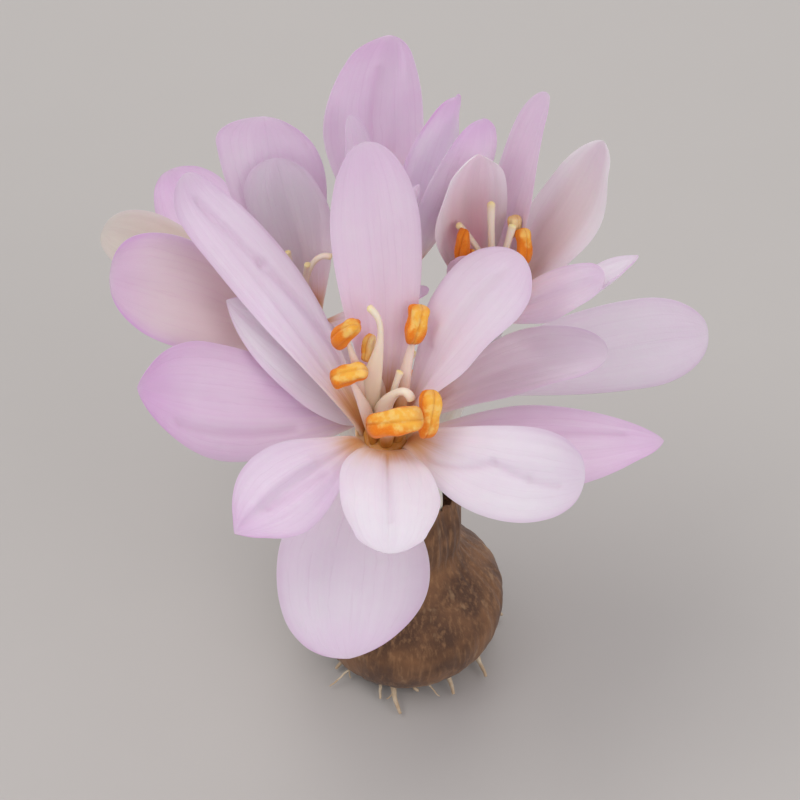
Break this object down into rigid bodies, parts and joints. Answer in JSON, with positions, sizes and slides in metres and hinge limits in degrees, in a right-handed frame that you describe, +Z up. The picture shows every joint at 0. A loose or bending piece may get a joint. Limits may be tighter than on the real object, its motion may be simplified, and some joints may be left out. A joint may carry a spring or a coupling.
{
  "type": "autumn crocus clump with corm",
  "caption": "Clump of lilac autumn crocus blooms with separate tepals, orange stamens and pale styles, on slender tubes that stand in the neck of a brown corm with short roots.",
  "frame": {"origin": "centre of the small flat base that the corm stands on", "axes": "+Z up, -Y towards the front bloom, which looks at the viewer, +X to the clump's right"},
  "size_m": [0.0911, 0.0829, 0.1074],
  "materials": {
    "tepal_lilac": "soft satin petal, pale lilac with nearly white middles and fine veins",
    "tube_white": "smooth waxy white",
    "anther_orange": "powdery yellow-orange pollen on pale threads",
    "style_cream": "smooth waxy cream",
    "tunic_brown": "dry papery brown skin"
  },
  "bodies": {
    "root": {"corm": "tunic_brown", "tube_front": "tube_white", "tube_low": "tube_white", "tube_left": "tube_white", "tube_back": "tube_white", "tube_right": "tube_white", "stamens_front": "anther_orange", "stamens_low": "anther_orange", "stamens_left": "anther_orange", "stamens_back": "anther_orange", "stamens_right": "anther_orange", "styles_front": "style_cream", "styles_low": "style_cream", "styles_left": "style_cream", "styles_back": "style_cream", "styles_right": "style_cream", "tepal_front_1": "tepal_lilac", "tepal_front_2": "tepal_lilac", "tepal_front_3": "tepal_lilac", "tepal_front_4": "tepal_lilac", "tepal_front_5": "tepal_lilac", "tepal_front_6": "tepal_lilac", "tepal_low_1": "tepal_lilac", "tepal_low_2": "tepal_lilac", "tepal_low_3": "tepal_lilac", "tepal_low_4": "tepal_lilac", "tepal_low_5": "tepal_lilac", "tepal_low_6": "tepal_lilac", "tepal_left_1": "tepal_lilac", "tepal_left_2": "tepal_lilac", "tepal_left_3": "tepal_lilac", "tepal_left_4": "tepal_lilac", "tepal_left_5": "tepal_lilac", "tepal_left_6": "tepal_lilac", "tepal_back_1": "tepal_lilac", "tepal_back_2": "tepal_lilac", "tepal_back_3": "tepal_lilac", "tepal_back_4": "tepal_lilac", "tepal_back_5": "tepal_lilac", "tepal_back_6": "tepal_lilac", "tepal_right_1": "tepal_lilac", "tepal_right_2": "tepal_lilac", "tepal_right_3": "tepal_lilac", "tepal_right_4": "tepal_lilac", "tepal_right_5": "tepal_lilac", "tepal_right_6": "tepal_lilac"}
  },
  "joints": []
}
